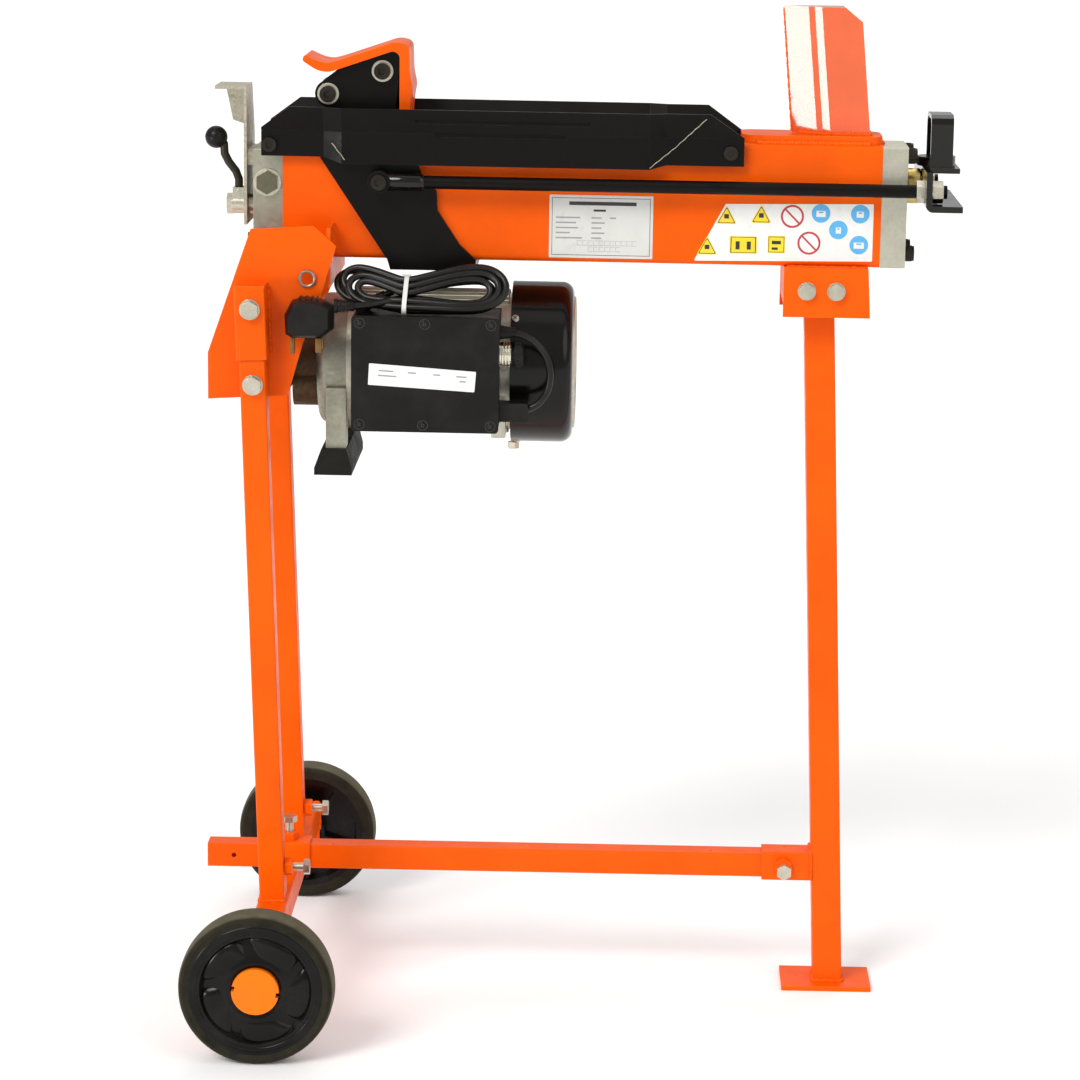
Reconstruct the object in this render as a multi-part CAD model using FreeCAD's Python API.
import FreeCAD, Part
import math
import os

V = FreeCAD.Vector
X_AXIS, Y_AXIS, Z_AXIS = V(1, 0, 0), V(0, 1, 0), V(0, 0, 1)

# Electric log splitter on a wheeled stand, in millimetres.
# +X runs along the beam from the control lever to the wedge, +Y goes to the rear, +Z is up.
# The origin lies on the floor under the middle of the whole machine.

# ---- driving dimensions ------------------------------------------------------------------
floor_gap_beam = 751.0          # floor to the underside of the beam
beam_start, beam_end = -291.0, 296.0
beam_width, beam_height, beam_wall = 72.0, 120.0, 4.0
log_capacity = 370.0            # pusher face to wedge edge, ram drawn back
cap_left_length, cap_right_length = 29.0, 25.0
rod_height = 829.0              # axis of the cylinder, rod and side rods
cylinder_outer_r, cylinder_bore_r = 26.0, 22.0
rod_r = 15.0
running_gap = 0.05
side_rod_r, side_rod_y = 6.5, 54.0
wheel_r, wheel_width, wheel_outer_face = 75.0, 37.0, 278.0
axle_r = 8.0
wheel_x, wheel_z = -294.5, 75.0
hub_face = wheel_outer_face - 8.0         # outer end of the hub's boss, under the cap
crossbar_size, crossbar_top = 30.0, 113.0
leg_size, leg_y = 25.0, 103.0
left_lean, right_lean = 1.9, 2.4          # degrees, feet towards the wedge end
sleeve_size = 30.0
right_leg_size = 30.0
right_leg_foot_x = 269.0
stretcher_z = 128.0
socket_bolt_x, socket_bolt_z = 220.0, 129.0
motor_z = 646.0
motor_r, fan_cover_r = 68.0, 80.0
cord_r = 3.5
bracket_y = 84.0                # inside face of the side brackets
plate = 4.0

beam_top = floor_gap_beam + beam_height
half_w = beam_width / 2
cap_left_x = beam_start - cap_left_length
cap_right_x = beam_end + cap_right_length
pusher_face = -168.0
wedge_edge = pusher_face + log_capacity
yoke_x = 336.0                  # inside face of the yoke's web
wing_near, wing_far = 42.0, 50.0      # wings' inner faces, at the bolted ends and along the middle
wing_bolt_x, wing_bolt_z = (-303.0, 147.0), 862.0

parts = {}


# ---- shape helpers -----------------------------------------------------------------------
def box(x0, x1, y0, y1, z0, z1):
    return Part.makeBox(x1 - x0, y1 - y0, z1 - z0, V(x0, y0, z0))


def rod_x(x0, x1, y, z, r):
    return Part.makeCylinder(r, x1 - x0, V(x0, y, z), X_AXIS)


def rod_y(y0, y1, x, z, r):
    return Part.makeCylinder(r, y1 - y0, V(x, y0, z), Y_AXIS)


def rod_z(z0, z1, x, y, r):
    return Part.makeCylinder(r, z1 - z0, V(x, y, z0), Z_AXIS)


def prism_y(points, y0, y1):
    """Outline in X and Z, extruded along Y."""
    wire = Part.makePolygon([V(x, y0, z) for x, z in points] + [V(points[0][0], y0, points[0][1])])
    return Part.Face(wire).extrude(V(0, y1 - y0, 0))


def prism_x(points, x0, x1):
    """Outline in Y and Z, extruded along X."""
    wire = Part.makePolygon([V(x0, y, z) for y, z in points] + [V(x0, points[0][0], points[0][1])])
    return Part.Face(wire).extrude(V(x1 - x0, 0, 0))


def hexagon(centre, axis, flats, height):
    """Hexagonal bar whose first face centre is given."""
    r = flats / math.sqrt(3)
    side = Z_AXIS if abs(axis.z) < 0.5 else X_AXIS
    other = axis.cross(side)
    corners = []
    for i in range(7):
        a = math.radians(60 * i)
        corners.append(centre + side * (r * math.cos(a)) + other * (r * math.sin(a)))
    return Part.Face(Part.makePolygon(corners)).extrude(axis * height)


def tube_z(size, wall, x, y, z0, z1):
    """Square tube standing up."""
    h = size / 2
    outer = box(x - h, x + h, y - h, y + h, z0, z1)
    outer = round_edges(outer, Z_AXIS, wall)
    return outer.cut(box(x - h + wall, x + h - wall, y - h + wall, y + h - wall, z0, z1))


def tube_x(size, wall, x0, x1, y, z):
    """Square tube lying along X."""
    h = size / 2
    outer = round_edges(box(x0, x1, y - h, y + h, z - h, z + h), X_AXIS, wall)
    return outer.cut(box(x0, x1, y - h + wall, y + h - wall, z - h + wall, z + h - wall))


def round_edges(shape, direction, radius):
    """Rounds the straight edges that run along one direction."""
    edges = []
    for edge in shape.Edges:
        if edge.Curve.TypeId == "Part::GeomLine":
            run = edge.Vertexes[-1].Point - edge.Vertexes[0].Point
            if abs(run.normalize().dot(direction)) > 0.999:
                edges.append(edge)
    return shape.makeFillet(radius, edges)


def fuse(shapes):
    body = shapes[0]
    for shape in shapes[1:]:
        body = body.fuse(shape)
    return body.removeSplitter()


def leaning(shape, x, z, degrees):
    """Turns a shape about a line along Y, so that its top moves away from the wedge."""
    turned = shape.copy()
    turned.rotate(V(x, 0, z), Y_AXIS, -degrees)
    return turned


def mirrored(shape):
    return shape.mirror(V(0, 0, 0), Y_AXIS)


def bolt(centre, axis, length, shank_r, flats, head, washer_r=0.0, washer=0.0):
    """Hex bolt. The head's underside or washer sits at the centre, the shank runs against axis."""
    shapes = [Part.makeCylinder(shank_r, length, centre, axis * -1)]
    if washer:
        shapes.append(Part.makeCylinder(washer_r, washer, centre, axis))
    shapes.append(hexagon(centre + axis * washer, axis, flats, head))
    return fuse(shapes)


# ---- beam, cylinder and end blocks ---------------------------------------------------------
def make_beam():
    outer = box(beam_start, beam_end, -half_w, half_w, floor_gap_beam, beam_top)
    outer = round_edges(outer, X_AXIS, 6.0)
    inner = box(beam_start, beam_end, -half_w + beam_wall, half_w - beam_wall,
                floor_gap_beam + beam_wall, beam_top - beam_wall)
    tube = outer.cut(inner)
    web = box(-244, -240, -bracket_y, bracket_y, 728, 786)
    web = web.cut(box(-246, -238, -half_w + 2, half_w - 2, floor_gap_beam + 2, 800))
    pieces = [tube, web.cut(outer)]
    for side in (-1, 1):
        y0, y1 = sorted((side * (half_w - 1), side * wing_near))
        pieces.append(rod_y(y0, y1, wing_bolt_x[1], wing_bolt_z, 7.0).cut(inner))
    return fuse(pieces)


spool_y, spool_z = -12.0, 800.0


def make_hydraulics():
    left = box(cap_left_x, beam_start, -35, 35, 753, 857)
    left = fuse([round_edges(left, X_AXIS, 2.0), box(cap_left_x + 9, beam_start, -35, 35, 850, 869)])
    for side in (-1, 1):
        y0, y1 = sorted((side * 34.0, side * wing_near))
        left = left.fuse(rod_y(y0, y1, wing_bolt_x[0], wing_bolt_z, 7.0))
    left = left.cut(rod_x(cap_left_x, beam_start, spool_y, spool_z, 6.0 + running_gap))
    plug_x = cap_left_x + 14
    left = left.cut(rod_y(-36, -21, plug_x, 824, 9.0))
    parts["oil_plug"] = fuse([rod_y(-35, -21, plug_x, 824, 9.0), rod_y(-37, -35, plug_x, 824, 13.5),
                              hexagon(V(plug_x, -37, 824), V(0, -1, 0), 20, 5)])
    right = box(beam_end, cap_right_x, -35.5, 35.5, floor_gap_beam, beam_top - 1)
    right = round_edges(right, X_AXIS, 2.0)
    right = right.cut(rod_x(beam_end, cap_right_x, 0, rod_height, rod_r + running_gap))
    screws = []
    for y in (-26, 26):
        for z in (765, 861):
            right = right.cut(rod_x(beam_end, cap_right_x, y, z, 4.0))
            screws.append(socket_screw(V(cap_right_x, y, z), X_AXIS, cap_right_length, 4.0, 7.5, 9.0))
        left = left.cut(rod_x(cap_left_x, beam_start, y, 767, 4.0))
        screws.append(socket_screw(V(cap_left_x, y, 767), V(-1, 0, 0), cap_left_length, 4.0, 6.5, 6.0))
    parts["end_cap_left"], parts["end_cap_right"] = left, right
    cylinder = rod_x(beam_start, beam_end, 0, rod_height, cylinder_outer_r)
    parts["cylinder_tube"] = cylinder.cut(rod_x(beam_start, beam_end, 0, rod_height, cylinder_bore_r))
    piston = rod_x(beam_start + 4, beam_start + 34, 0, rod_height, cylinder_bore_r - running_gap)
    groove = rod_x(beam_start + 14, beam_start + 22, 0, rod_height, cylinder_bore_r + 1)
    groove = groove.cut(rod_x(beam_start + 14, beam_start + 22, 0, rod_height, cylinder_bore_r - 4))
    parts["piston"] = piston.cut(groove)
    parts["piston_seal"] = groove.common(piston)
    rod_tip = rod_x(yoke_x, yoke_x + 6, 0, rod_height, 9.0)
    parts["piston_rod"] = fuse([rod_x(beam_start + 34, yoke_x, 0, rod_height, rod_r), rod_tip])
    return screws


def socket_screw(centre, axis, length, shank_r, head_r, head):
    """Cap screw with a hexagon socket. The head's underside is at the centre."""
    body = Part.makeCylinder(head_r, head, centre, axis)
    body = body.cut(hexagon(centre + axis * (head * 0.45), axis, head_r * 0.95, head))
    return fuse([body, Part.makeCylinder(shank_r, length, centre, axis * -1)])


# ---- wedge ---------------------------------------------------------------------------------
wedge_top = 1003.0


def make_wedge():
    def section(z, edge, back):
        near = [(edge, 0), (edge + 24, -12), (edge + 30, -12.5), (edge + 37, -16.5), (back, -18)]
        far = [(x, -y) for x, y in reversed(near[1:])]
        return Part.makePolygon([V(x, y, z) for x, y in near + far + near[:1]])

    blade = Part.makeLoft([section(beam_top + 8, wedge_edge + 6, 284),
                           section(wedge_top, wedge_edge - 6, 272)], True, True)
    blade = blade.cut(prism_y([(256, wedge_top + 1), (256, wedge_top), (273.5, 989), (290, 989),
                               (290, wedge_top + 1)], -20, 20))
    base = box(158, 296, -30, 30, beam_top, beam_top + 8)
    base = round_edges(base, Z_AXIS, 12.0)
    return fuse([blade, base])


# ---- cradle wings --------------------------------------------------------------------------
wing_bottom, wing_bend, wing_top = 845.0, 876.0, 900.0
wing_sheet, wing_flare = 3.0, 12.0


def make_wing():
    """Front cradle wing: an upright strip with its top leaning out, joggled near its ends."""
    def section(x, inner, bottom):
        outer = inner + wing_sheet
        points = [(inner, bottom), (inner, wing_bend), (inner + wing_flare, wing_top),
                  (outer + wing_flare, wing_top), (outer, wing_bend), (outer, bottom)]
        return Part.makePolygon([V(x, -y, z) for y, z in points + points[:1]])

    low, lift = wing_bottom, wing_bottom + 6
    stations = [(-311, wing_near, lift), (-250, wing_near, lift), (-232, wing_far, low),
                (68, wing_far, low), (84, wing_near, low + 4), (160, wing_near, low + 4)]
    spans = []
    for a, b in zip(stations, stations[1:]):
        spans.append(Part.makeLoft([section(*a), section(*b)], True, True))
    wing = fuse(spans)
    for corner in ([(-312, 878), (-281, wing_top + 1), (-312, wing_top + 1)],
                   [(161, 876), (125, wing_top + 1), (161, wing_top + 1)]):
        wing = wing.cut(prism_y(corner, -80, -30))
    floor_y = -wing_far - 1.2
    for x0, x1, z in ((-159, 9, 888), (-140, -15, 875)):
        y = floor_y - wing_flare * max(0, z - wing_bend) / (wing_top - wing_bend)
        groove = [box(x0, x1, y - 20, y, z - 2, z + 2)]
        groove += [rod_y(y - 20, y, x, z, 2) for x in (x0, x1)]
        wing = wing.cut(fuse(groove))
    for x in wing_bolt_x:
        wing = wing.cut(rod_y(-90, -30, x, wing_bolt_z, 4.1))
    return wing


def wing_bolts():
    screws = []
    for x in wing_bolt_x:
        for side in (-1, 1):
            face = side * (wing_near + wing_sheet)
            screws.append(socket_screw(V(x, face, wing_bolt_z), V(0, side, 0), 3.0, 4.0, 7.0, 4.0))
    return screws


# ---- ram carriage --------------------------------------------------------------------------
saddle_in, saddle_out = 37.0, 41.0
eye_x, eye_outer = -195.0, 63.0      # bolted eyes of the side rods


def make_saddle():
    """Sheet collar that runs round the beam: two side plates, a top plate and a bottom plate."""
    side = [(-228, 880), (-254, 850), (-188, 751), (-185, 741), (-101, 741), (-101, 752), (-117, 767),
            (-139, 800), (-140, 819), (-153, 832), (-159, 846), (-159, 880)]
    side_plate = prism_y(side, -saddle_out, -saddle_in)
    side_plate = side_plate.cut(rod_y(-60, -30, eye_x, rod_height, 4.1))
    top = box(-228, -159, -saddle_in, saddle_in, beam_top + 1, 880)
    bottom = box(-185, -101, -saddle_in, saddle_in, 741, floor_gap_beam - 1)
    return fuse([side_plate, mirrored(side_plate), top, bottom])


cheek_bolts = ((-247.0, 911.0), (-194.0, 934.0))


def rounded_prism(outline, y0, y1):
    """Outline in X and Z with every corner rounded as far as its sides allow, extruded along Y."""
    corners = [V(x, y0, z) for x, z in outline]
    edges, last = [], None
    for i, corner in enumerate(corners):
        before, after = corners[i - 1], corners[(i + 1) % len(corners)]
        reach = 0.42 * min((corner - before).Length, (after - corner).Length)
        enter = corner + (before - corner).normalize() * reach
        leave = corner + (after - corner).normalize() * reach
        half_turn = (corner - before).getAngle(after - corner) / 2
        inward = ((enter + leave) * 0.5 - corner).normalize()
        bend = reach / math.tan(half_turn)
        middle = corner + inward * (bend / math.cos(half_turn) - bend)
        if last:
            edges.append(Part.LineSegment(last, enter).toShape())
        edges.append(Part.Arc(enter, middle, leave).toShape())
        last = leave
    edges.append(Part.LineSegment(last, edges[0].Vertexes[0].Point).toShape())
    return Part.Face(Part.Wire(edges)).extrude(V(0, y1 - y0, 0))


def make_pusher():
    """Two inner cheeks and the bent shoe that touches the log. Returns their bolts."""
    cheek = [(-228, 880), (-252, 899), (-252, 923), (-242, 931), (-181, 955), (-177, 951), (-181, 900),
             (-181, 880)]
    nose_x, nose_z = cheek_bolts[0]
    front = fuse([prism_y(cheek, -29, -25), rod_y(-29, -25, nose_x, nose_z, 13.0)])
    for x, z in cheek_bolts:
        front = front.cut(rod_y(-40, -20, x, z, 4.1))
    shoe_outline = [(-168, 884), (-166, 908), (-164, 918), (-167, 932), (-168, 960), (-181, 963),
                    (-236, 944), (-247, 941), (-257, 943), (-270, 949), (-272, 943), (-258, 934),
                    (-246, 932), (-183, 954), (-177, 950), (-177, 884)]
    shoe = rounded_prism(shoe_outline, -36, 36)
    parts["pusher_shoe"] = shoe
    parts["pusher_cheeks"] = Part.makeCompound([front.cut(shoe), mirrored(front).cut(shoe)])
    bolts = []
    for x, z in cheek_bolts:
        for side in (-1, 1):
            out = V(0, side, 0)
            screw = socket_screw(V(x, side * 31, z), out, 6.0, 4.0, 8.0, 6.0)
            bolts.append(fuse([screw, Part.makeCylinder(10.5, 2, V(x, side * 29, z), out)]))
    length = eye_outer - saddle_in
    for side in (-1, 1):
        head = V(eye_x, side * eye_outer, rod_height)
        bolts.append(socket_screw(head, V(0, side, 0), length, 4.0, 7.5, 4.0))
    return bolts


def make_side_rods():
    """Round bars with an eye at the saddle end. Returns the nuts that hold them in the yoke."""
    rods, nuts = [], []
    rod_tip = yoke_x + 22
    for side in (-1, 1):
        y = side * side_rod_y
        y0, y1 = sorted((side * saddle_out, side * eye_outer))
        bar = rod_x(eye_x + 7, rod_tip, y, rod_height, side_rod_r)
        eye = rod_y(y0, y1, eye_x, rod_height, 11.0)
        rods.append(fuse([bar, eye]).cut(rod_y(-70, 70, eye_x, rod_height, 4.1)))
        bore = rod_x(yoke_x - 12, rod_tip, y, rod_height, side_rod_r)
        nuts.append(hexagon(V(yoke_x - 8, y, rod_height), X_AXIS, 19, 8).cut(bore))
        washer = rod_x(yoke_x + 6, yoke_x + 8, y, rod_height, 10.4)
        outer_nut = hexagon(V(yoke_x + 8, y, rod_height), X_AXIS, 19, 10)
        nuts.append(fuse([washer, outer_nut]).cut(bore))
    parts["side_rods"] = Part.makeCompound(rods)
    return nuts


def make_yoke():
    """Pressed channel that joins the piston rod to both side rods, with a lifting stirrup on top."""
    z0, z1 = 811.5, 850.0
    sheet, bend, half = 6.0, 7.0, 78.0
    web = box(yoke_x, yoke_x + sheet, -half, half, z0 + bend, z1)
    lower = box(yoke_x + bend, yoke_x + 36, -half, half, z0, z0 + sheet)
    corner = rod_y(-half, half, yoke_x + bend, z0 + bend, bend)
    corner = corner.cut(rod_y(-half, half, yoke_x + bend, z0 + bend, bend - sheet))
    corner = corner.common(box(yoke_x, yoke_x + bend, -half, half, z0, z0 + bend))
    upper = box(yoke_x, yoke_x + 36, -34, 34, z1 - 5, z1)
    channel = fuse([web, lower, corner, upper])
    bores = [rod_x(yoke_x - 1, yoke_x + 7, 0, rod_height, 9.0)]
    bores += [rod_x(yoke_x - 1, yoke_x + 7, s * side_rod_y, rod_height, side_rod_r) for s in (-1, 1)]
    for bore in bores:
        channel = channel.cut(bore)
    top = 901.0
    x0, x1 = yoke_x + 7, yoke_x + 29
    hoop = prism_x([(-27, z1), (-27, top - 9), (-24.5, top - 3), (-18, top), (18, top),
                    (24.5, top - 3), (27, top - 9), (27, z1)], x0, x1)
    hoop = hoop.cut(prism_x([(-23, z1 - 1), (-23, top - 10), (-17, top - 4), (17, top - 4),
                             (23, top - 10), (23, z1 - 1)], x0 - 1, x1 + 1))
    boss = rod_z(z1, z1 + 9, yoke_x + 15, 0, 19.0)
    return fuse([channel, hoop, boss])


# ---- controls ------------------------------------------------------------------------------
guard_x = -329.0


def make_controls():
    face = [(-36, 782), (36, 782), (36, 868), (16, 917), (-36, 917)]
    guard = prism_x(face, guard_x, guard_x + 3)
    lip = box(-357, guard_x, -36, 16, 914, 917)
    flange = prism_y([(-352, 914), (guard_x, 914), (guard_x, 877), (-333, 876), (-345, 880)], 13, 16)
    guard = fuse([guard, lip, flange])
    spacer = box(guard_x + 3, cap_left_x, -30, 30, 840, 855)
    guard = fuse([guard, spacer])
    guard = guard.cut(rod_x(guard_x - 1, cap_left_x, spool_y, spool_z, 10.1))
    for y in (-26, 26):
        guard = guard.cut(rod_x(guard_x - 1, cap_left_x, y, 767, 8.0))
    parts["hand_guard"] = guard
    gland = rod_x(-343, cap_left_x, spool_y, spool_z, 10.0)
    nut = hexagon(V(-348, spool_y, spool_z), X_AXIS, 18, 6)
    ears = box(pivot_x - 5.5, pivot_x + 5.5, spool_y - 7.5, spool_y + 7.5, spool_z, pivot_z + 4)
    gland = fuse([gland, nut, ears]).cut(rod_x(-349, cap_left_x, spool_y, spool_z, 6.0 + running_gap))
    slot_tool = box(pivot_x - 5.6, pivot_x + 5.6, spool_y - 4.5, spool_y + 4.5, spool_z, pivot_z + 5)
    pin = rod_y(spool_y - 8.5, spool_y + 8.5, pivot_x, pivot_z, pivot_r)
    parts["valve_gland"] = fuse([gland.cut(slot_tool), pin])
    spool = rod_x(-346, -296, spool_y, spool_z, 6.0)
    parts["valve_spool"] = spool.cut(box(-341, -332, spool_y - 7, spool_y + 7, spool_z + 1, spool_z + 7))
    parts["control_lever"] = make_lever()
    ball = Part.makeSphere(11.0, knob_centre)
    parts["lever_knob"] = ball.cut(parts["control_lever"])


pivot_x, pivot_z, pivot_r = -336.5, 812.5, 2.0
lever_r = 4.0
lever_top = V(-351, spool_y, 858.5)
knob_centre = V(-358.6, spool_y, 865)


def lever_stub():
    return Part.makeCylinder(lever_r, 10, lever_top, knob_centre - lever_top)


def make_lever():
    """Bent round bar that turns on the gland's pin: a short tongue below it moves the spool."""
    route = [V(pivot_x, spool_y, pivot_z + 3), V(pivot_x, spool_y, 824), V(-339.5, spool_y, 832),
             V(-346.5, spool_y, 841), V(-350.5, spool_y, 849), lever_top]
    bar = [Part.makeSphere(lever_r, corner) for corner in route[1:]]
    for a, b in zip(route, route[1:]):
        bar.append(Part.makeCylinder(lever_r, (b - a).Length, a, b - a))
    bar.append(lever_stub())
    tongue = box(pivot_x - 2.2, pivot_x + 2.2, spool_y - 2, spool_y + 2, spool_z + 2, pivot_z)
    eye = rod_y(spool_y - 4.2, spool_y + 4.2, pivot_x, pivot_z, 5.0)
    hole = rod_y(spool_y - 5, spool_y + 5, pivot_x, pivot_z, pivot_r + running_gap)
    return fuse(bar + [tongue, eye]).cut(hole)


# ---- side brackets and left legs -----------------------------------------------------------
leg_top = 722.0
leg_foot_x = wheel_x - 0.5
sleeve_z0, sleeve_z1 = 661.0, 731.0
leg_bolt_z = (710.0, 636.0)


def leg_line(z):
    """X of the left legs' centre line at a height."""
    return leg_foot_x - (z - crossbar_top) * math.tan(math.radians(left_lean))


def make_bracket():
    outline = [(-317, 784), (-256, 788), (-234, 769), (-249, 720), (-266, 675), (-281, 622),
               (-359, 617), (-359, 663)]
    side = prism_y(outline, -bracket_y - plate, -bracket_y)
    side = side.cut(rod_y(-100, -80, -262, 737, 6.0))
    ring = rod_y(-bracket_y - plate - 2, -bracket_y, -262, 737, 8.0).cut(rod_y(-100, -80, -262, 737, 6.0))
    length = sleeve_z1 - sleeve_z0
    sleeve = tube_z(sleeve_size, 2.0, leg_foot_x, -leg_y, sleeve_z0, sleeve_z0 + length)
    sleeve = leaning(sleeve, leg_foot_x, crossbar_top, left_lean)
    lid = box(leg_foot_x - 15, leg_foot_x + 15, -leg_y - 15, -leg_y + 15, sleeve_z1, sleeve_z1 + 2)
    lid = leaning(lid, leg_foot_x, crossbar_top, left_lean)
    body = fuse([side, ring, sleeve, lid])
    for z in leg_bolt_z:
        body = body.cut(rod_y(-130, -80, leg_line(z), z, 5.1))
    return body


def make_left_leg():
    length = (leg_top - crossbar_top) / math.cos(math.radians(left_lean))
    leg = tube_z(leg_size, 2.0, leg_foot_x, -leg_y, crossbar_top - 4, crossbar_top + length)
    leg = leaning(leg, leg_foot_x, crossbar_top, left_lean)
    leg = leg.cut(box(-340, -250, -130, -80, crossbar_top - 20, crossbar_top))
    for z in leg_bolt_z:
        leg = leg.cut(rod_y(-130, -80, leg_line(z), z, 5.1))
    leg = leg.cut(rod_x(-300, -270, -leg_y, 146, 4.1))
    return leg


def make_stand_bolts():
    bolts = []
    for side in (-1, 1):
        out = V(0, side, 0)
        for z, face in zip(leg_bolt_z, (leg_y + 15, leg_y + 12.5)):
            x = leg_line(z)
            length = face - bracket_y + 8
            bolts.append(bolt(V(x, side * face, z), out, length, 5.0, 16, 6, 10, 1.5))
            nut = hexagon(V(x, side * bracket_y, z), out * -1, 16, 7)
            bolts[-1] = fuse([bolts[-1], nut])
        bolts.append(clamp_bolt(V(leg_line(146) + 12.85, side * leg_y, 146), X_AXIS))
    bolts.append(clamp_bolt(V(-289, 0, stretcher_z + 15), Z_AXIS))
    bolts.append(clamp_bolt(V(socket_bolt_x, -15, socket_bolt_z), V(0, -1, 0)))
    for x in (225, 254):
        for side in (-1, 1):
            out = V(0, side, 0)
            one = bolt(V(x, side * 44, 728), out, 12, 4.0, 14, 5.5, 9, 1.5)
            bolts.append(fuse([one, hexagon(V(x, side * 36, 728), out * -1, 13, 6)]))
    return Part.makeCompound(bolts)


def clamp_bolt(centre, axis):
    """Set bolt in a nut that is welded on a tube face. The centre is on the tube face."""
    nut = hexagon(centre, axis, 16, 8)
    shank = Part.makeCylinder(4.0, 23, centre - axis * 2, axis)
    head = hexagon(centre + axis * 19, axis, 14, 6)
    return fuse([nut, shank, head])


# ---- crossbar, axle and stretcher ----------------------------------------------------------
def make_crossbar():
    half = crossbar_size / 2
    inner_face = wheel_outer_face - wheel_width
    end = inner_face - 9
    outer = box(wheel_x - half, wheel_x + half, -end, end, crossbar_top - 2 * half, crossbar_top)
    outer = round_edges(outer, Y_AXIS, 2.5)
    bar = outer.cut(box(wheel_x - half + 2.5, wheel_x + half - 2.5, -end, end,
                        crossbar_top - 2 * half + 2.5, crossbar_top - 2.5))
    shapes = [bar]
    for side in (-1, 1):
        y0, y1 = sorted((side * end, side * (end + 5)))
        shapes.append(box(wheel_x - half, wheel_x + half, y0, y1, 57, crossbar_top))
    sleeve = tube_x(sleeve_size, 2.0, -312, -267, 0, stretcher_z)
    shapes.append(sleeve)
    body = fuse(shapes)
    body = body.cut(rod_z(130, 160, -289, 0, 4.1))
    for side in (-1, 1):
        y0, y1 = sorted((side * (end - 2), side * (end + 6)))
        body = body.cut(rod_y(y0, y1, wheel_x, wheel_z, axle_r))
    return body


def make_axles():
    """Axle pins with a collar inside the wheel and a retaining ring under the hub cap."""
    inner_face = wheel_outer_face - wheel_width
    pieces = []
    for side in (-1, 1):
        def disc(near, far, r):
            y0, y1 = sorted((side * near, side * far))
            return rod_y(y0, y1, wheel_x, wheel_z, r)

        pin = disc(inner_face - 9, hub_face + 3, axle_r)
        collar = disc(inner_face - 4, inner_face - 0.5, axle_r + 4)
        ring = disc(hub_face + 0.5, hub_face + 2, axle_r + 5)
        pieces += [fuse([pin, collar]), ring.cut(disc(hub_face, hub_face + 3, axle_r))]
    return Part.makeCompound(pieces)


def make_stretcher():
    bar = tube_x(leg_size, 2.0, -372, 244, 0, stretcher_z)
    bar = bar.cut(rod_y(-20, 0, -345, stretcher_z, 2.5))
    return bar.cut(rod_y(-20, 0, socket_bolt_x, socket_bolt_z, 4.1))


# ---- right leg -----------------------------------------------------------------------------
def make_right_leg():
    foot_top = 5.0
    leg = tube_z(right_leg_size, 2.5, right_leg_foot_x, 0, foot_top - 3, 716)
    leg = leaning(leg, right_leg_foot_x, foot_top, right_lean)
    leg = leg.cut(box(200, 330, -30, 30, -10, foot_top)).cut(box(200, 330, -30, 30, 714, 760))
    slab = box(221, 313, -32, 32, 0, foot_top)
    channel = box(212, 268, -40, 40, 714, 744).cut(box(212, 268, -36, 36, 718, 744))
    socket = tube_x(sleeve_size, 2.0, 198, 270, 0, stretcher_z)
    solid_leg = leaning(box(right_leg_foot_x - 15, right_leg_foot_x + 15, -15, 15, 0, 716),
                        right_leg_foot_x, foot_top, right_lean)
    socket = socket.cut(solid_leg)
    socket = socket.cut(box(260, 300, -30, 30, 90, 160))
    body = fuse([leg, slab, channel, socket])
    for x in (225, 254):
        body = body.cut(rod_y(-50, 50, x, 728, 4.1))
    return body.cut(rod_y(-20, 0, socket_bolt_x, socket_bolt_z, 4.1))


def make_head_bracket():
    side = prism_y([(202, floor_gap_beam), (202, 702), (288, 702), (285, floor_gap_beam)], -44, -40)
    shell = fuse([side, mirrored(side), box(202, 206, -40, 40, 716, floor_gap_beam),
                  box(202, 285, -40, 40, 747, floor_gap_beam)])
    for x in (225, 254):
        shell = shell.cut(rod_y(-50, 50, x, 728, 4.1))
    return shell


# ---- wheels --------------------------------------------------------------------------------
def revolve_y(points, x, z):
    """Outline in radius and Y, turned about an axis along Y."""
    wire = Part.makePolygon([V(x + r, y, z) for r, y in points + points[:1]])
    return Part.Face(wire).revolve(V(x, 0, z), Y_AXIS, 360)


def make_wheels():
    y0 = -wheel_outer_face
    y1 = y0 + wheel_width
    rim = 61.0
    tyre = revolve_y([(rim, y0 + 3), (wheel_r - 5, y0 + 1), (wheel_r - 1, y0 + 5), (wheel_r, y0 + 12),
                      (wheel_r, y1 - 12), (wheel_r - 1, y1 - 5), (wheel_r - 5, y1 - 1), (rim, y1 - 3)],
                     wheel_x, wheel_z)
    bore = axle_r + running_gap
    hub = revolve_y([(bore, -hub_face), (24, -hub_face), (24, y0 + 4), (28, y0 + 3), (50, y0 + 9),
                     (54, y0 + 3), (rim, y0 + 3), (rim, y1 - 3), (55, y1 - 3), (52, y0 + 20),
                     (20, y0 + 20), (20, y1), (bore, y1)], wheel_x, wheel_z)
    for i in range(5):
        rib = box(wheel_x + 19, wheel_x + 54, y0 + 19, y1 - 6, wheel_z - 1.5, wheel_z + 1.5)
        rib.rotate(V(wheel_x, 0, wheel_z), Y_AXIS, 72 * i + 18)
        hub = hub.fuse(rib)
    hub = hub.removeSplitter()
    cap = rod_y(y0, -hub_face, wheel_x, wheel_z, 22.8)
    cap = cap.cut(rod_y(y0 + 3, -hub_face, wheel_x, wheel_z, 18.0))
    for angle in (8, 188):
        notch = box(wheel_x + 20, wheel_x + 25, y0 - 1, y0 + 9, wheel_z - 2.5, wheel_z + 2.5)
        notch.rotate(V(wheel_x, 0, wheel_z), Y_AXIS, angle)
        cap = cap.cut(notch)
    parts["tyre_front"], parts["hub_front"], parts["hub_cap_front"] = tyre, hub, cap
    for kind in ("tyre", "hub", "hub_cap"):
        parts[kind + "_rear"] = mirrored(parts[kind + "_front"])


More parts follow.
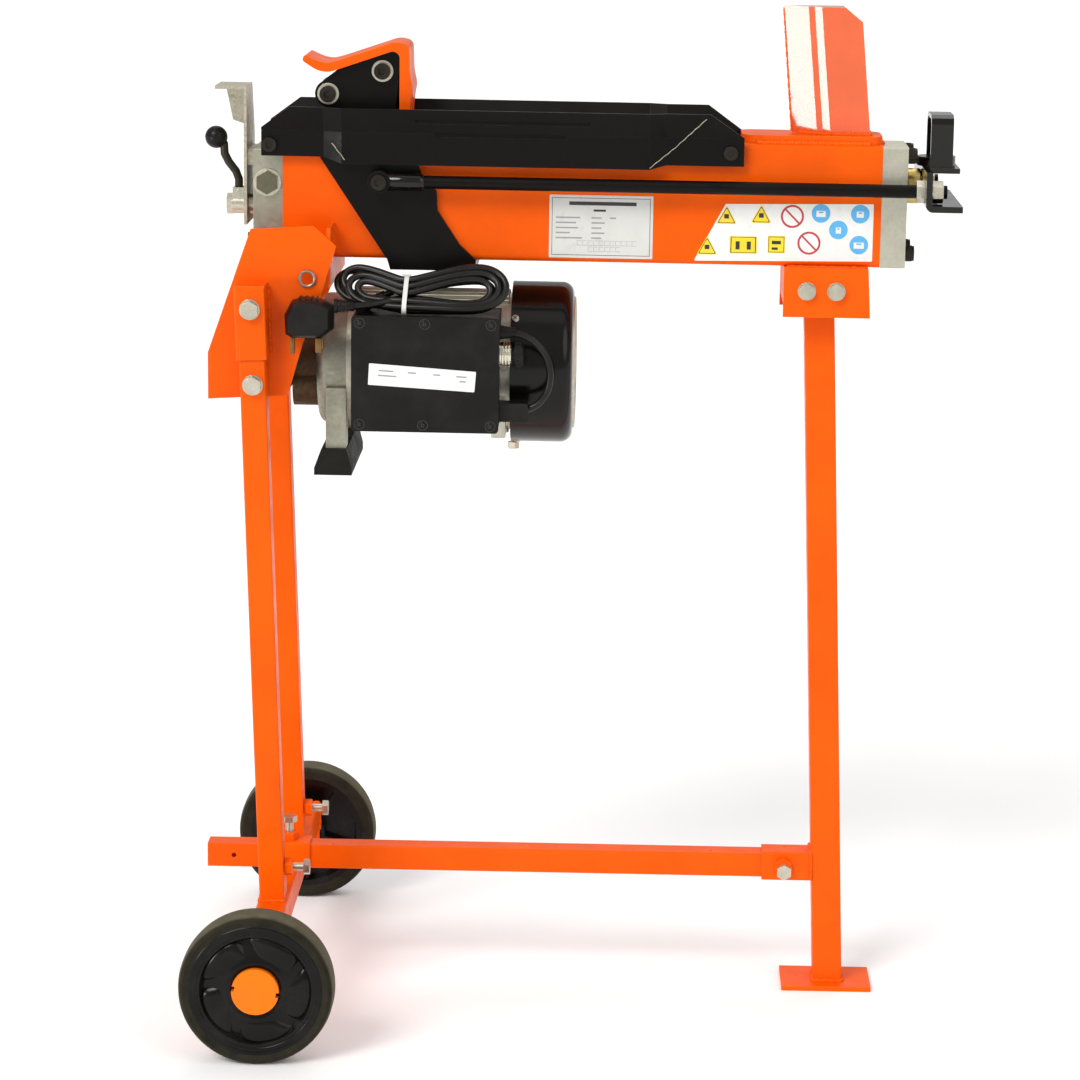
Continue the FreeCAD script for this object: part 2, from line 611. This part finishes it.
# ---- motor and pump ------------------------------------------------------------------------
pump_start, bell_start, body_start, body_end, fan_end = -283.0, -256.0, -226.0, -62.0, -4.0
shaft_r = 8.0


def make_motor():
    shell = rod_x(body_start, body_end, 0, motor_z, motor_r)
    parts["motor_housing"] = shell.cut(rod_x(body_start, body_end, 0, motor_z, motor_r - 4))
    stator = rod_x(-196, -96, 0, motor_z, motor_r - 4)
    parts["stator"] = stator.cut(rod_x(-196, -96, 0, motor_z, 36))
    bell = rod_x(bell_start, body_start, 0, motor_z, 65)
    bell = bell.makeFillet(9.0, [e for e in bell.Edges if abs(e.BoundBox.XMax - bell_start) < 0.01])
    bell = bell.cut(rod_x(bell_start + 8, body_start, 0, motor_z, 57))
    bell = bell.fuse(rod_x(bell_start, body_start - 6, 0, motor_z, 22))
    bell = bell.cut(rod_x(bell_start - 1, bell_start + 10, 0, motor_z, shaft_r + 1))
    bell = bell.cut(rod_x(bell_start + 10, body_start, 0, motor_z, 16))
    for y in (-66, 44):
        post = box(-246, -226, y, y + 22, 566, 626)
        post = post.cut(rod_x(bell_start, body_start, 0, motor_z, 60))
        bell = bell.fuse(post)
    parts["end_bell"] = bell.removeSplitter()
    pad = [(-257, 540), (-257, 547), (-250, 566), (-225, 566), (-220, 547), (-220, 540)]
    parts["foot_pad"] = prism_y(pad, -72, 72)
    shaft = rod_x(pump_start + 6, fan_end - 14, 0, motor_z, shaft_r)
    parts["rotor_shaft"] = fuse([shaft, rod_x(-194, -98, 0, motor_z, 35.5)])
    bearings = []
    for x in (bell_start + 10, body_end - 12):
        ring = rod_x(x, x + 12, 0, motor_z, 16).cut(rod_x(x, x + 12, 0, motor_z, shaft_r + running_gap))
        bearings.append(ring)
    end_plate = rod_x(body_end - 12, body_end, 0, motor_z, motor_r - 4)
    end_plate = end_plate.cut(rod_x(body_end - 12, body_end, 0, motor_z, 16))
    parts["motor_housing"] = parts["motor_housing"].fuse(end_plate).removeSplitter()
    parts["motor_bearings"] = Part.makeCompound(bearings)
    fan = [rod_x(-48, -30, 0, motor_z, 22), rod_x(-33, -30, 0, motor_z, 66)]
    for i in range(8):
        blade = box(-48, -33, -1.5, 1.5, motor_z + 20, motor_z + 66)
        blade.rotate(V(0, 0, motor_z), X_AXIS, 45 * i)
        fan.append(blade)
    parts["cooling_fan"] = fuse(fan).cut(rod_x(-60, -20, 0, motor_z, shaft_r))
    cover = rod_x(-65, fan_end, 0, motor_z, fan_cover_r)
    cover = cover.makeFillet(12.0, [e for e in cover.Edges if abs(e.BoundBox.XMin - fan_end) < 0.01])
    hollow = rod_x(-62, fan_end - 3, 0, motor_z, fan_cover_r - 3)
    hollow = hollow.makeFillet(9.0, [e for e in hollow.Edges if abs(e.BoundBox.XMin - fan_end + 3) < 0.01])
    cover = cover.cut(hollow).cut(rod_x(-66, -61, 0, motor_z, motor_r))
    for i in range(12):
        vent = box(fan_end - 5, fan_end + 1, -2.5, 2.5, motor_z + 24, motor_z + 56)
        vent.rotate(V(0, 0, motor_z), X_AXIS, 30 * i)
        cover = cover.cut(vent)
    parts["fan_cover"] = cover
    make_pump()


def gear(y, z, turn, bore):
    """Eight-tooth pump gear, teeth narrow enough to mesh with play."""
    root, tip, teeth = 9.0, 14.6, 8
    points = []
    for i in range(teeth):
        for radius, offset in ((root, -13), (root, -9), (tip, -4.5), (tip, 4.5), (root, 9), (root, 13)):
            a = math.radians(360 / teeth * i + offset + turn)
            points.append((y + radius * math.cos(a), z + radius * math.sin(a)))
    body = prism_x(points, pump_start + 8, pump_start + 22)
    return body.cut(rod_x(pump_start, pump_start + 30, y, z, bore))


def make_pump():
    """Gear pump: the drive gear sits on the motor shaft, the driven gear on a pin below it."""
    centre = 24.4
    low = motor_z - centre
    flange = box(pump_start - 8, pump_start, -bracket_y, bracket_y, low, motor_z + 14)
    body = fuse([rod_x(pump_start, bell_start, 0, motor_z, 27),
                 rod_x(pump_start, bell_start, 0, low, 24), flange])
    room_start, room_end = pump_start + 7, pump_start + 23
    cavity = [rod_x(room_start, room_end, 0, motor_z, 15.2), rod_x(room_start, room_end, 0, low, 15.2),
              rod_x(pump_start + 5, bell_start + 1, 0, motor_z, shaft_r + running_gap)]
    body = body.cut(fuse(cavity))
    pin = rod_x(room_start, room_end, 0, low, 5.0 - running_gap)
    parts["pump_body"] = fuse([body, pin])
    parts["pump_drive_gear"] = gear(0, motor_z, 270, shaft_r)
    parts["pump_driven_gear"] = gear(0, low, 90 + 22.5, 5.0)


# ---- switch box ----------------------------------------------------------------------------
box_x0, box_x1, box_z0, box_z1 = -216.0, -75.0, 594.0, 705.0
box_front = -118.0
button_y, button_z = -97.0, 668.0


def make_switch_box():
    body = box(box_x0, box_x1, box_front + 3, -40, box_z0, box_z1)
    body = body.cut(rod_x(box_x0 - 5, box_x1 + 5, 0, motor_z, motor_r))
    hollow = box(box_x0 + 3, box_x1 - 3, box_front + 3, -76, box_z0 + 3, box_z1 - 3)
    body = body.cut(hollow).cut(rod_x(-80, -70, button_y, button_z, 9.0))
    solids = sorted(body.Solids, key=lambda s: s.Volume)
    parts["switch_box"] = solids[-1]
    lid = box(box_x0 - 1, box_x1 + 1, box_front, box_front + 3, box_z0 - 1, box_z1 + 1)
    parts["box_lid"] = round_edges(lid, Y_AXIS, 4.0)
    collar = fuse([rod_x(-78, -63, button_y, button_z, 9.0), rod_x(-75, -72, button_y, button_z, 12.5)])
    parts["button_collar"] = collar.cut(rod_x(-80, -60, button_y, button_z, 6.5 + running_gap))
    parts["push_button"] = fuse([rod_x(-79, -58, button_y, button_z, 6.5),
                                 rod_x(-58, -54, button_y, button_z, 9.0)])


# ---- mains lead and the motor lead ----------------------------------------------------------
tail_route = [(-231, -110, 714), (-215, -110, 714), (-201, -107, 715), (-188, -102, 717), (-178, -96, 719)]
lead_route = [(-75, -100, 690), (-59, -100, 690), (-41, -100, 683), (-29, -99, 668), (-24, -98, 650),
              (-27, -97, 631), (-38, -97, 617), (-54, -97, 612)]


def cord_tube(route, radius, name):
    """Tube along straight runs joined by tangent arcs, each arc as large as its runs allow."""
    points = [V(*p) for p in route]
    edges = []
    start = points[0]
    radii = []
    for before, corner, after in zip(points, points[1:], points[2:]):
        into = (corner - before).normalize()
        out = (after - corner).normalize()
        turn = into.getAngle(out)
        shorter = min((corner - before).Length, (after - corner).Length)
        reach = 0.45 * shorter
        bend = reach / math.tan(turn / 2)
        radii.append(round(bend, 1))
        enter, leave = corner - into * reach, corner + out * reach
        chord = (out - into).normalize()
        middle = corner + chord * (bend / math.cos(turn / 2) - bend)
        edges.append(Part.LineSegment(start, enter).toShape())
        edges.append(Part.Arc(enter, middle, leave).toShape())
        start = leave
    edges.append(Part.LineSegment(start, points[-1]).toShape())
    path = Part.Wire(edges)
    first = (points[1] - points[0]).normalize()
    ring = Part.Wire([Part.makeCircle(radius, points[0], first)])
    tube = path.makePipeShell([ring], True, True)
    ratio = tube.Volume / (math.pi * radius ** 2 * path.Length)
    print(name, "length", round(path.Length, 1), "radii", radii, "volume ratio", round(ratio, 4))
    return tube


outlet_x, outlet_y, outlet_z = -205.0, -72.0, 711.0      # root of the mains lead's strain relief
relief_tip = V(-187.0, -78.0, 721.0)
hank_lean = 35.0        # degrees that the hank's flat lobes lean back from upright


def make_outlet():
    """Mains outlet on the box's top: a moulded block and the tapered strain relief it holds."""
    root = V(outlet_x, outlet_y, outlet_z)
    along = (relief_tip - root).normalize()
    block = box(outlet_x - 11, outlet_x, outlet_y - 8, outlet_y + 8, box_z1, outlet_z + 7)
    block = round_edges(block, Y_AXIS, 2.5)
    start = root - along * 4
    cone = Part.makeCone(6.5, 4.6, (relief_tip - start).Length, start, along)
    return fuse([block, cone]).cut(box(-300, 0, -130, -40, box_z1 - 20, box_z1))


def make_hank():
    """Outer shape of the tied hank: two flattened lobes that meet at the tie."""
    lean = math.radians(hank_lean)
    up, out = V(0, math.sin(lean), math.cos(lean)), V(0, -math.cos(lean), math.sin(lean))

    def ring(x, y, z, half_height, half_depth):
        points = []
        for i in range(12):
            a = math.radians(30 * i + 15)
            offset = up * (half_height * math.sin(a)) + out * (half_depth * math.cos(a))
            points.append(V(x, y, z) + offset)
        return Part.makePolygon(points + points[:1])

    rings = [ring(-238.5, -74.5, 734.5, 10, 6), ring(-216, -77.5, 731, 23, 9),
             ring(-166, -92.5, 723, 20, 9), ring(-118, -93.5, 728.5, 27.5, 9),
             ring(-90, -91.5, 729.5, 24, 9), ring(-65.5, -90, 730, 9, 6)]
    spans = [Part.makeLoft([a, b], True, True) for a, b in zip(rings, rings[1:])]
    return fuse(spans).cut(box(-300, 0, -130, -40, box_z1 - 20, box_z1 + 0.5))


def make_plug():
    """Three-pin plug lying with its pins down, its lead leaving towards the motor."""
    outline = [(-283, 680), (-231, 680), (-231, 716), (-240, 722), (-270, 722), (-283, 708)]
    body = prism_y(outline, -128, -92)
    body = body.cut(box(-240, -230, -129, -118, 679, 723)).cut(box(-240, -230, -102, -91, 679, 723))
    pins = [box(-276, -272, -114, -106, 667, 680)]
    pins += [box(-251, -245, y - 2, y + 2, 670, 680) for y in (-121, -99)]
    return fuse([body] + pins)


def make_cords():
    outlet = make_outlet()
    hank = make_hank().cut(outlet)
    parts["mains_outlet"] = outlet
    parts["cord_hank"] = hank
    parts["cord_tail"] = cord_tube(tail_route, cord_r, "tail").cut(hank)
    parts["plug"] = make_plug()
    lead = cord_tube(lead_route, cord_r, "lead")
    relief = Part.makeCone(7, 4.6, 16, V(box_x1 + 1, -100, 690), X_AXIS)
    clip = box(box_x1 + 1, -46, -107, -88, 603, 621)
    clip = clip.fuse(box(box_x1, box_x1 + 1, -107, -88, 603, 621))
    parts["lead_grips"] = Part.makeCompound([relief.cut(lead), clip.cut(lead)])
    parts["motor_lead"] = lead


# ---- build and write -----------------------------------------------------------------------
def build():
    parts["beam_tube"] = make_beam()
    screws = make_hydraulics()
    parts["wedge"] = make_wedge()
    parts["wing_front"] = make_wing()
    parts["wing_rear"] = mirrored(parts["wing_front"])
    parts["cap_screws"] = Part.makeCompound(screws + wing_bolts())
    parts["saddle"] = make_saddle()
    parts["ram_fasteners"] = Part.makeCompound(make_pusher() + make_side_rods())
    parts["yoke"] = make_yoke()
    make_controls()
    parts["bracket_front"] = make_bracket()
    parts["bracket_rear"] = mirrored(parts["bracket_front"])
    parts["leg_front"] = make_left_leg()
    parts["leg_rear"] = mirrored(parts["leg_front"])
    parts["stand_bolts"] = make_stand_bolts()
    parts["crossbar"] = make_crossbar()
    parts["axle_stubs"] = make_axles()
    parts["stretcher"] = make_stretcher()
    parts["leg_right"] = make_right_leg()
    parts["head_bracket"] = make_head_bracket()
    make_wheels()
    make_motor()
    make_switch_box()
    make_cords()


build()
os.makedirs("parts", exist_ok=True)
for node, shape in parts.items():
    good = shape.isValid() and shape.Volume > 0
    if not good:
        print("CHECK", node, shape.isValid(), shape.Volume, len(shape.Solids))
    shape.exportStep("parts/" + node + ".step")
print(len(parts), "parts")
